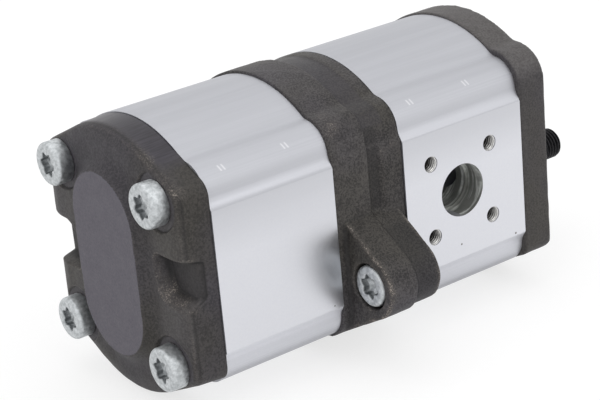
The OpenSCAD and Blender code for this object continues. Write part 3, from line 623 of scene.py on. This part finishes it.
def coverHeight(y, z, form, outline):
    # height over the joint: the face with a sine swell inside its rim, plus the pad's flat top with a hollow
    # flank, less the spotfaces and scoops, less a quarter-circle drop along the rim
    angles, reach, steep = outline
    angle = np.mod(np.arctan2(z, y), 2 * math.pi)
    inward = np.interp(angle, angles, reach) - form["draft"] - np.hypot(y, z)
    inward = inward * np.interp(angle, angles, steep)
    padAway = np.hypot(y, np.maximum(np.abs(z) - form["padReach"], 0)) - form["padHalfWidth"]
    flank = np.clip(padAway / form["padFlank"], 0, 1)
    swell = form["swell"] * np.sin(math.pi / 2 * np.clip(inward / form["swellWidth"], 0, 1))
    height = form["faceHeight"] + swell + form["padHeight"] * (1 - flank) ** 2
    dug = dugShare(y, z, form)
    height = height - dug * (height - form["scoopFloor"])
    fillet = form["rimFillet"] + (form["scoopRimFillet"] - form["rimFillet"]) * dug
    rim = np.clip(fillet - inward, 0, fillet)
    height = height - (fillet - np.sqrt(np.maximum(fillet ** 2 - rim ** 2, 0)))
    offset = form["screwOffset"]
    spotAway = np.hypot(np.abs(y) - offset, np.abs(z) - offset)
    spotFloor = form["spotHeight"]
    sunk = softStep((form["spotRadius"] - spotAway) / 0.4 + 0.5)
    spot = np.where(height > spotFloor, height + (spotFloor - height) * sunk, height)
    return spot, padAway, spotAway


def rubbedShare(y, z, form):
    # how much an edge is rubbed at each place: little everywhere, more round the rubbed places
    side = np.where(y < 0, 1.0, -1.0)
    share = np.full_like(y, form["rubbedElsewhere"])
    for middleY, middleZ, radius, most in form["rubbedPlaces"]:
        away = np.hypot(side * y - middleY, side * z - middleZ)
        share = np.maximum(share, most * np.exp(-(away / radius) ** 2))
    return share


def makeRearCover(form):
    # rings of the face, each a share of the outline at its height over the joint, then the rim down to the
    # joint and the flat back. Edges that stand out over the places round them are rubbed, hollows get painted
    # shade
    outline = softenedOutline(form)
    angle = np.linspace(0, 2 * math.pi, form["columns"], endpoint=False)
    reach = np.interp(angle, *outline[:2])
    faceReach = reach - form["draft"]
    share = np.linspace(0.006, 1, form["faceRows"])[:, None]
    y, z = share * faceReach * np.cos(angle), share * faceReach * np.sin(angle)
    height, padAway, spotAway = coverHeight(y, z, form, outline)
    around = sum(coverHeight(y + dy * form["probe"], z + dz * form["probe"], form, outline)[0]
                 for dy, dz in ((1, 0), (-1, 0), (0, 1), (0, -1)))
    bulge = height - around / 4
    convex = np.clip(bulge / form["edgeBulge"] - 0.2, 0, 1) * np.where(padAway < 4, 0.4, 1.0)
    convex *= rubbedShare(y, z, form)
    convex[-1] = convex[-2]
    scoop = dugShare(y, z, form)
    convex *= 1 - 0.9 * scoop * softStep((np.abs(y) - 34) / 4)
    # bare specks on the scoops' lower walls: partly wear, partly a painted highlight where the wall catches
    # the light
    along = np.where(y < 0, 1.0, -1.0) * z
    wall = 4 * scoop * (1 - scoop) * softStep((3 - along) / 6)
    convex = np.maximum(convex, 0.95 * wall * softStep((form["wallWearAndHighlightTo"] - np.abs(y)) / 6))
    # painted shade: darker in the hollows and inside the scoops
    sooty = np.clip(-bulge / form["hollowDepth"] - 0.1, 0, 0.6) * (padAway > 4)
    sooty += 0.5 * softStep((scoop - 0.5) / 0.5)
    sooty = np.clip(sooty, 0, 0.85)
    padTop = padAway < -0.3
    spotFloor = (spotAway < form["spotRadius"] - 0.4) & (height > form["spotHeight"] - 0.05)
    milled = np.maximum(padTop, 0.3 * spotFloor)
    height = height + (1 - milled) * wobble(y, z, form["unevenness"], form["unevennessWidth"])
    # the rim: from the face's edge down to the joint, leaning out by the draft
    drop = np.linspace(1, 0, form["sideRows"] + 1)[1:, None]
    sideHeight = height[-1] * drop
    sideReach = faceReach + form["draft"] * (1 - sideHeight / form["faceHeight"])
    sideY, sideZ = sideReach * np.cos(angle), sideReach * np.sin(angle)
    backShare = np.array([[0.66], [0.33], [0.02]])
    allY = np.concatenate([y, sideY, backShare * sideY[-1]])
    allZ = np.concatenate([z, sideZ, backShare * sideZ[-1]])
    allHeight = np.concatenate([height, sideHeight, np.zeros((len(backShare), form["columns"]))])
    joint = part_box("rear_cover")[1].x / mm
    rings = np.stack([joint - allHeight, allY, allZ + midHeight], -1)
    edgeFade = np.concatenate([np.linspace(0.8, 0, 4), np.zeros(form["sideRows"] - 1)])[:, None] * convex[-1]
    extra = np.zeros((form["sideRows"] + len(backShare), form["columns"]))
    barrelShare = softStep((np.abs(np.sin(angle)) - form["barrelFrom"]) / 0.1) + extra
    barrelShare[:2] *= [[0.3], [0.8]]
    beside = softStep((np.abs(y) - form["padHalfWidth"] - 3) / 6) * softStep((30 - np.abs(z)) / 14)
    pale, soot = 0.25 * beside * (1 - milled), sooty * (1 - milled)
    faceShares, sideShares = (convex, milled, 0 * y, pale, soot), (edgeFade, extra, barrelShare, extra, extra)
    shares = {name: np.concatenate([onFace.ravel(), onSide.ravel(), [name == "milled", 0]])
              for name, onFace, onSide in zip(finishNames, faceShares, sideShares)}
    makePiece("rear_cover_casting", *ringedSolid(rings), "housing", "cast_iron", finish["cast_iron"],
              ["rear_cover"], shares)


makeRearCover(rearCover)
print("rear cover made")


# castings rounded from their solids

castings = dict(
    voxel=0.6,  # mm
    jointRounding=0.12,  # share of the rounding that is left at a joint
    jointEdge=(0.8, 2.5),  # it holds this far from the joint and grows to the whole over the second length
    wearPasses=16,
    wearScale=0.2,  # how far a fully worn edge stands out
    plainWear=0.35,  # share of the wear off the ears
    earStart=42.0,
    earHeadRadius=8.0,  # of the solid's ear screws
    holeGuard=10.5,  # the edge round an ear screw's hole is hardly rubbed
    unevenness=0.05,
    unevennessWidth=8.0,
    cutLean=62.0,  # degrees over the pressure side of the plane that cuts the upper corner
)


def smoothed(points, edges, passes, share):
    # each point moves by its share of the way to the mean of its neighbours, passes times
    ends, others = edges.ravel(), edges[:, ::-1].ravel()
    count = np.maximum(np.bincount(ends, minlength=len(points)), 1)[:, None]
    for _ in range(passes):
        total = np.stack([np.bincount(ends, axis[others], len(points)) for axis in points.T], -1)
        points = points + share * (total / count - points)
    return points


def evenQuads(node, form):
    # the node's closed mesh remeshed in small even quads: mesh, points in mm and edges
    carrier = linkedObject(node + "_sharp", meshFrom(mergedCopy(nodes[node].data), node + "_sharp"))
    remesh = carrier.modifiers.new("even_quads", "REMESH")
    remesh.mode = "VOXEL"
    remesh.voxel_size = form["voxel"] * mm
    bpy.context.view_layer.update()
    mesh = bpy.data.meshes.new_from_object(carrier.evaluated_get(bpy.context.evaluated_depsgraph_get()))
    bpy.data.objects.remove(carrier)
    return mesh, readArray(mesh.vertices, "co") / mm, readArray(mesh.edges, "vertices", 2, int)


def roundedCasting(node, form, rounding, crispLevels, wear, material, finishes):
    # the solid's own shape, its upper corner on the pressure side cut flat along a plane that touches the
    # barrel, with its edges worn round by smoothing, less so at the joints it is pressed to.
    # finishes gives, for points and normals, the share of each finish at each point
    mesh, points, edges = evenQuads(node, form)
    share = np.full((len(points), 1), 0.5)
    crisp, (hold, grow) = form["jointRounding"], form["jointEdge"]
    for level in crispLevels:
        share[:, 0] *= crisp + (1 - crisp) * softStep((np.abs(points[:, 0] - level) - hold) / grow)
    lean = math.radians(form["cutLean"])
    across = np.array([0, math.cos(lean), math.sin(lean)])
    fromMiddle = points - [0, 0, midHeight]
    barrelRadius = fromMiddle[:, 2].max()
    onCorner = (fromMiddle[:, 1] > 0) & (fromMiddle[:, 2] > 0)
    points = points - across * (np.maximum(fromMiddle @ across - barrelRadius, 0) * onCorner)[:, None]
    rounded = smoothed(points, edges, rounding, share)
    rounder = smoothed(rounded, edges, form["wearPasses"], 0.5)
    mesh.vertices.foreach_set("co", (rounded * mm).ravel())
    mesh.update()
    normals = readArray(mesh.vertices, "normal")
    bulge = ((rounded - rounder) * normals).sum(1) / form["wearScale"]
    onEars = softStep((np.abs(rounded[:, 1]) - form["earStart"]) / 4)
    fromScrew = np.hypot(np.abs(rounded[:, 1]) - earY, rounded[:, 2])
    worn = wear * np.clip(bulge - 0.3, 0, 1) * (form["plainWear"] + (1 - form["plainWear"]) * onEars)
    worn *= 0.25 + 0.75 * softStep((fromScrew - form["holeGuard"] + 1) / 2)
    for level in crispLevels:
        worn *= softStep((np.abs(rounded[:, 0] - level) - 1.2) / 1.5)
    shares = {name: np.zeros(len(points)) for name in finishNames}
    # painted shade in the creases
    shares["sooty"] = 0.6 * np.clip(-bulge - 0.2, 0, 1)
    shares.update(finishes(rounded, normals))
    shares["worn"] = np.maximum(worn, shares["worn"])
    calm = np.maximum(shares["milled"], shares["turned"])
    uneven = (1 - calm) * wobble(rounded[:, 0] + rounded[:, 1], rounded[:, 2], form["unevenness"],
                                 form["unevennessWidth"])
    mesh.vertices.foreach_set("co", ((rounded + normals * uneven[:, None]) * mm).ravel())
    carryShares(mesh, shares)
    mesh.update()
    finishPiece(mesh, node + "_casting", "housing", material, [node])


def flangeFinish(points, normals):
    # painted light makes the crown of the flange's barrel a little paler than the rest, and its side flats
    # are paler too; one shoulder beside the rear body is rubbed
    crown = softStep((np.abs(normals[:, 2]) - 0.8) / 0.15) * (np.abs(points[:, 1]) < 40)
    sides = softStep((np.abs(normals[:, 1]) - 0.9) / 0.08)
    away = (points - [rearJoint + 4, -36.0, midHeight + 38.5]) / [3.0, 5.0, 4.5]
    rubbed = 0.55 * np.exp(-(away ** 2).sum(1))
    return {"pale": 0.2 * np.maximum(crown, sides), "worn": rubbed}


def adapterFinish(points, normals):
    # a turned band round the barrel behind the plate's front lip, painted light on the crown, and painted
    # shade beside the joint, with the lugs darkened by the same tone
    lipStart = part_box("adapter_plate")[1].x / mm - 5
    band = softStep((lipStart - points[:, 0]) / 0.8) * softStep((np.abs(normals[:, 2]) - 0.3) / 0.25)
    crown = softStep((np.abs(normals[:, 2]) - 0.8) / 0.15)
    strip = softStep((jointPlane + 6 - points[:, 0]) / 1.2) * softStep((np.abs(normals[:, 1]) - 0.85) / 0.1)
    lug = softStep((np.abs(points[:, 1]) - 46) / 4)
    return {"turned": 0.4 * band * (np.abs(points[:, 1]) < 40), "pale": 0.2 * (1 - band) * crown,
            "sooty": 0.45 * np.maximum(strip * (1 - lug), lug)}


def frontCoverFinish(points, normals):
    # the mounting face and the pilot in front of it are cut bare, and painted light makes the rim paler where
    # it looks up
    face = (np.abs(points[:, 0] - mountingFace) < 0.15) & (np.abs(normals[:, 0]) > 0.9)
    pilot = points[:, 0] > mountingFace + 0.3
    # painted light on the rim where it looks up
    rim = softStep((normals[:, 2] - 0.1) / 0.6)
    return {"milled": np.maximum(face, 0.8 * pilot), "pale": 0.15 + 0.6 * rim}


mountingFace = mounts["mounting_face"]["pos_m"][0] / mm
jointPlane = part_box("adapter_plate")[0].x / mm
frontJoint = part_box("front_body")[1].x / mm
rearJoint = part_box("rear_body")[1].x / mm
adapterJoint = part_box("front_body")[0].x / mm
earY = (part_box("ear_screws")[1].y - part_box("ear_screws")[0].y) / mm / 2 - castings["earHeadRadius"]
roundedCasting("coupling_flange", castings, 4, [jointPlane, rearJoint], 1.0, sandyIron, flangeFinish)
roundedCasting("adapter_plate", castings, 5, [jointPlane, adapterJoint], 0.7, sandyIron, adapterFinish)
roundedCasting("front_cover", castings, 7, [frontJoint], 0.0, finish["cast_iron"], frontCoverFinish)
print("castings rounded")


# pump bodies

bodyForm = dict(
    edgeChamfer=0.4,  # mm
    chamferFrom=40.0,  # degrees
    drilledRadius=(2.3, 2.7),  # points this near to a screw hole's axis are on its drilled wall
    tappedRadius=3.05,  # at the roots of the M6 threads
    threadCrest=2.5,
    linerWall=0.05,
    threadPitch=1.0,
    threadDepth=11.0,
    threadStart=0.5,  # below the flat
    paintedShadeFullDepth=5.0,  # painted shade in the hole grows to full at this depth
    boreReach=10.2,  # faces nearer than this to a port's axis belong to its bore
    blendHeight=33.0,  # painted light: the milled tone is carried from the middle up to here over the shaded corner facets
    blendWidth=39.0,
)


def tappedHoles(mountName):
    # middles (x, z) of the four screw holes round a port, in mm, and the side it is on
    mount = mounts[mountName]
    x, y, z = (value / mm for value in mount["pos_m"])
    turn = np.radians(45 + 90 * np.arange(4))
    away = mount["dims"]["pcd_mm"] / 2
    return np.stack([x + away * np.cos(turn), z + away * np.sin(turn)], -1), y


def dressedBody(node, pieceName, portScrews, form):
    # a copy of the body with its screw holes opened to the thread roots and a chamfer on every edge
    opened = meshFrom(mergedCopy(nodes[node].data), pieceName + "_opened")
    points = readArray(opened.vertices, "co") / mm
    for mountName in portScrews:
        middles, flatY = tappedHoles(mountName)
        for middle in middles:
            fromMiddle = points[:, [0, 2]] - middle
            away = np.hypot(*fromMiddle.T)
            nearest, farthest = form["drilledRadius"]
            onWall = (away > nearest) & (away < farthest) & (points[:, 1] * flatY > 0)
            grown = fromMiddle[onWall] * (form["tappedRadius"] / away[onWall])[:, None]
            points[np.ix_(onWall, [0, 2])] = middle + grown
    opened.vertices.foreach_set("co", (points * mm).ravel())
    copy = mergedCopy(opened)
    bmesh.ops.dissolve_limit(copy, angle_limit=math.radians(1), verts=copy.verts, edges=copy.edges)
    mesh = meshFrom(copy, pieceName)
    sideways = np.abs(readArray(mesh.polygons, "normal")[:, 1])
    x, y, z = readArray(mesh.polygons, "center").T / mm
    flat = (sideways > 0.999).astype(float)
    # painted light over the shaded facets beside the flats
    paintedLightBesideFlat = softStep((form["blendHeight"] - np.abs(z - midHeight)) / 4)
    paintedLightBesideFlat *= np.abs(y) > form["blendWidth"]
    milled = np.maximum.reduce([flat, 0.8 * softStep((sideways - 0.75) / 0.24), paintedLightBesideFlat])
    carryShares(mesh, {"flat": flat, "milled": milled}, "FACE")
    low, high = (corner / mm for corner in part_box(node))
    fromAxis = np.hypot(x - (low.x + high.x) / 2, z - midHeight)
    bored = (fromAxis < form["boreReach"]) & (np.abs(y) < high.y - 0.1)
    piece = finishPiece(mesh, pieceName, "housing", finish["body_aluminium"], [node])
    mesh.materials.append(boreFinish)
    mesh.polygons.foreach_set("material_index", bored.astype(int))
    softenEdges(piece, form["edgeChamfer"], form["chamferFrom"], 90)


dressedBody("rear_body", "rear_body_extrusion", ["rear_pressure_port_screws"], bodyForm)
dressedBody("front_body", "front_body_extrusion", ["suction_port_screws", "front_pressure_port_screws"],
            bodyForm)


def threadLiner(pieceName, mountName, form):
    # the wall of a tapped hole: its radius runs between crest and root as a triangle wave of depth less a
    # share of the turn, so the crest climbs one pitch in each turn
    middles, flatY = tappedHoles(mountName)
    turn = np.linspace(0, 2 * math.pi, 32, endpoint=False)[None, :]
    depth = np.arange(form["threadStart"], form["threadDepth"], form["threadPitch"] / 8)[:, None]
    phase = np.mod(depth / form["threadPitch"] - turn / (2 * math.pi), 1)
    wave = np.abs(2 * phase - 1)
    cut = form["tappedRadius"] - form["threadCrest"]
    radius = form["threadCrest"] + cut * np.clip(1.3 * wave - 0.1, 0, 1)
    outer = np.full((1, turn.size), form["tappedRadius"] + form["linerWall"])
    ringDepth = np.concatenate([depth[:1], depth, depth[-1:], depth[:1]])
    rings = turnedRings(ringDepth, np.concatenate([outer, radius, outer, outer]), turn)[..., [1, 0, 2]]
    upper = np.maximum(np.sin(turn), 0)  # painted shade on the hole's upper side
    # painted shade: darker in the thread roots, deeper in the hole and on its upper side
    sunk = 0.6 * (radius - form["threadCrest"]) / cut + depth / form["paintedShadeFullDepth"] + 0.4 * upper - 0.15
    paintedHoleShade = np.concatenate([0 * outer, np.clip(sunk, 0, 1), 0 * outer, 0 * outer]).ravel()
    points, faces = rings.reshape(-1, 3) * [1, -math.copysign(1, flatY), 1], gridFaces(*rings.shape[:2])
    wall = joined((points + [x, flatY, z], [faces]) for x, z in middles)
    makePiece(pieceName, *wall, "housing", "body_aluminium", threadFinish,
              shares={"sunk": np.tile(paintedHoleShade, len(middles))})


for mountName in ("suction_port_screws", "front_pressure_port_screws", "rear_pressure_port_screws"):
    threadLiner(mountName.replace("screws", "threads"), mountName, bodyForm)
print("bodies dressed")


# screws with a six-lobe recess

screwForm = dict(
    headRadius=8.0,  # mm
    headChamfer=1.5,
    recessRadius=3.85,
    recessLobe=0.6,
    recessDepth=2.6,
    recessShade=0.7,
    shankRadius=4.95,
    columns=120,
)


def sixLobeScrews(pieceName, node, places, seatX, headHeight, length, twists, form):
    # rings from the screw's tip to the head's rim and down into the recess, whose radius is a mean plus a
    # cosine of six times the angle
    turn = np.linspace(0, 2 * math.pi, form["columns"], endpoint=False)
    head, chamfer, shank = form["headRadius"], form["headChamfer"], form["shankRadius"]
    quarter = np.linspace(0, math.pi / 2, 7)
    tipX, faceX = seatX + length, seatX - headHeight
    recess, floorX = form["recessRadius"], faceX + form["recessDepth"]
    profile = [(tipX, 0.2, 0), (tipX, shank - 1.2, 0), (tipX - 1, shank - 0.6, 0), (seatX, shank - 0.6, 0),
               (seatX, head - 0.3, 0), (seatX - 0.3, head, 0)]
    profile += [(faceX + chamfer * (1 - math.sin(a)), head - chamfer * (1 - math.cos(a)), 0) for a in quarter]
    profile += [(faceX, recess + 2.1, 0), (faceX, recess + 1.1, 0.35), (faceX, recess + 0.45, 0.95),
                (faceX + 0.35, recess + 0.05, 1), (faceX + 0.6, recess, 1), (floorX, recess - 0.1, 1),
                (floorX + 0.1, recess - 0.6, 0.7), (floorX + 1.4, 0.2, 0)]
    profile = np.array(profile)  # X, radius and share of the lobes
    radius = profile[:, 1:2] + profile[:, 2:3] * form["recessLobe"] * np.cos(6 * turn)
    screws = joined(ringedSolid(turnedRings(profile[:, :1], radius, turn + math.radians(twist)) + [0, y, z])
                    for (y, z), twist in zip(places, twists))
    # painted shade in the recess
    inRecess = form["recessShade"] * (profile[:, 2] == 1)
    sunk = np.concatenate([np.repeat(inRecess, form["columns"]), [0, 0]])
    makePiece(pieceName, *screws, "housing", "zinc_plated_steel", finish["zinc_plated_steel"], [node],
              {"sunk": np.tile(sunk, len(places))})


offset = rearCover["screwOffset"]
corners = [(sy * offset, midHeight + sz * offset) for sy in (-1, 1) for sz in (-1, 1)]
for node, places, headHeight, twists, form in (  # twists are in degrees, as each screw was left
        ("rear_cover_screws", corners, 6.5, (10, 34, 22, 3), screwForm),
        ("ear_screws", [(-earY, 0.0), (earY, 0.0)], 8.0, (16, 41), dict(screwForm, headRadius=7.65))):
    low, high = (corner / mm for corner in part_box(node))
    seatX = low.x + headHeight
    sixLobeScrews(node + "_detailed", node, places, seatX, headHeight, high.x - seatX, twists, form)
print("screws made")


# threaded shaft end

shaftForm = dict(
    threadRadius=6.0,  # mm
    coreRadius=5.2,
    pitch=1.5,
    threadTurns=10,
    undercutRadius=5.1,
    undercut=1.5,
    endChamfer=1.2,
    edgeChamfer=0.15,
    chamferFrom=35.0,  # degrees
    centreHole=1.8,
    columns=72,
)


def makeShaft(form):
    # the solid shaft up to the thread's shoulder, and beyond it the thread, whose radius runs from core to
    # crest as a clipped triangle wave of length less a share of the turn
    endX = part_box("front_drive_gear_shaft")[1].x / mm
    threadStart = endX - form["threadTurns"] * form["pitch"]
    shoulder = threadStart - form["undercut"]
    copy = mergedCopy(nodes["front_drive_gear_shaft"].data)
    beyond = [vertex for vertex in copy.verts if vertex.co.x / mm > shoulder + 0.05]
    bmesh.ops.delete(copy, geom=beyond, context="VERTS")
    rim = [edge for edge in copy.edges if edge.is_boundary]
    bmesh.ops.holes_fill(copy, edges=rim)
    shaft = finishPiece(meshFrom(copy, "shaft_body"), "shaft_body", "drive_shaft",
                        finish["blackened_steel"], ["front_drive_gear_shaft"])
    softenEdges(shaft, form["edgeChamfer"], form["chamferFrom"], 50)
    turn = np.linspace(0, 2 * math.pi, form["columns"], endpoint=False)[None, :]
    x = np.arange(threadStart, endX + 1e-6, form["pitch"] / 12)[:, None]
    phase = np.mod((x - threadStart) / form["pitch"] - turn / (2 * math.pi), 1)
    wave = np.clip(1.35 * np.abs(2 * phase - 1) - 0.1, 0, 1)
    radius = form["coreRadius"] + (form["threadRadius"] - form["coreRadius"]) * wave
    radius = np.minimum(radius, form["threadRadius"] - form["endChamfer"] + endX - x)
    radius = np.minimum(radius, form["coreRadius"] - 0.15 + (x - threadStart))
    neck, hole = form["undercutRadius"], form["centreHole"]
    before = np.array([(shoulder - 0.4, 0.3), (shoulder - 0.4, neck), (threadStart, neck)])
    after = np.array([(endX, hole), (endX - 0.8, hole - 0.9), (endX - 2.4, 0.2)])
    ringX = np.concatenate([before[:, :1], x, after[:, :1]])
    radius = np.concatenate([before[:, 1:] + 0 * turn, radius, after[:, 1:] + 0 * turn])
    rings = turnedRings(ringX, radius, turn)
    makePiece("shaft_thread", *ringedSolid(rings), "drive_shaft", "blackened_steel",
              finish["blackened_steel"])


makeShaft(shaftForm)
print("shaft made")


# floor and light

stageSetup = dict(
    paper=((0.3, "#f3f3f3"), (0.7, "#f6f6f6")),  # the floor's two tones
    floorSize=6.0,  # m
    floorGlow=0.72,  # share of white that the floor shows of itself
    floorShade=0.3,  # colour of the floor under that glow, so that it still shows the shadow
    worldStrength=0.72,
    lamps=(  # name, place in m, size in m, power in W
        ("key", (0.35, -1.5, 1.5), 1.6, 8.8),
        ("left", (-1.7, -0.7, 1.0), 1.2, 3.5),
        ("top", (-0.1, 0.3, 1.9), 1.6, 6.0),
    ),
)


def seenDirectly(tree):
    # 1 where the camera looks, also through a mirror or glass, and 0 for the light on the object
    path = addNode(tree, "LightPath", {}).node.outputs
    seen = path["Is Camera Ray"]
    for kind in ("Is Glossy Ray", "Is Transmission Ray"):
        seen = addNode(tree, "Math", {"operation": "MAXIMUM", 0: seen, 1: path[kind]})
    return seen


def makeFloor(setup, level):
    # white where it is seen, with the object's soft shadow kept
    half = setup["floorSize"] / 2
    mesh = bpy.data.meshes.new("floor")
    rim = [(x * half, y * half, level) for x, y in ((-1, -1), (1, -1), (1, 1), (-1, 1))]
    mesh.from_pydata(rim, [], [(0, 1, 2, 3)])
    material, tree, place = newMaterial("pale_paper")
    seen = seenDirectly(tree)
    clouds, = blotches(tree, place, [(40.0, 2.0, 0.5)])
    plain = addNode(tree, "ValToRGB", {"Fac": clouds, "stops": setup["paper"]})
    shade = (setup["floorShade"],) * 3 + (1.0,)
    glow = addNode(tree, "Math", {"operation": "MULTIPLY", 0: seen, 1: setup["floorGlow"]})
    mesh.materials.append(dressed(material, {
        "Base Color": layered(tree, plain, [(seen, shade)]), "Roughness": 0.9,
        "Emission Color": "#ffffff", "Emission Strength": glow}))
    floor = linkedObject("floor", mesh)


def makeWorld(setup):
    # white where it is seen, softer on the object
    world = bpy.data.worlds.new("studio")
    world.use_nodes = True
    bpy.context.scene.world = world
    tree = world.node_tree
    strength = addNode(tree, "MapRange", (seenDirectly(tree), 0.0, 1.0, setup["worldStrength"], 1.0))
    setSockets(tree, tree.nodes["Background"], {"Color": "#ffffff", "Strength": strength})


def makeLamps(setup, aim):
    # square area lamps, each turned towards the pump's middle
    for name, place, size, power in setup["lamps"]:
        lamp = linkedObject(name, bpy.data.lights.new(name, "AREA"))
        lamp.data.size = size
        lamp.data.energy = power
        lamp.location = place
        lamp.rotation_euler = (Vector(aim) - Vector(place)).to_track_quat("-Z", "Y").to_euler()


makeFloor(stageSetup, cadBox[0].z)
makeWorld(stageSetup)
makeLamps(stageSetup, (cadBox[0] + cadBox[1]) / 2)
bpy.context.scene.view_settings.view_transform = "Standard"
print("stage lit")
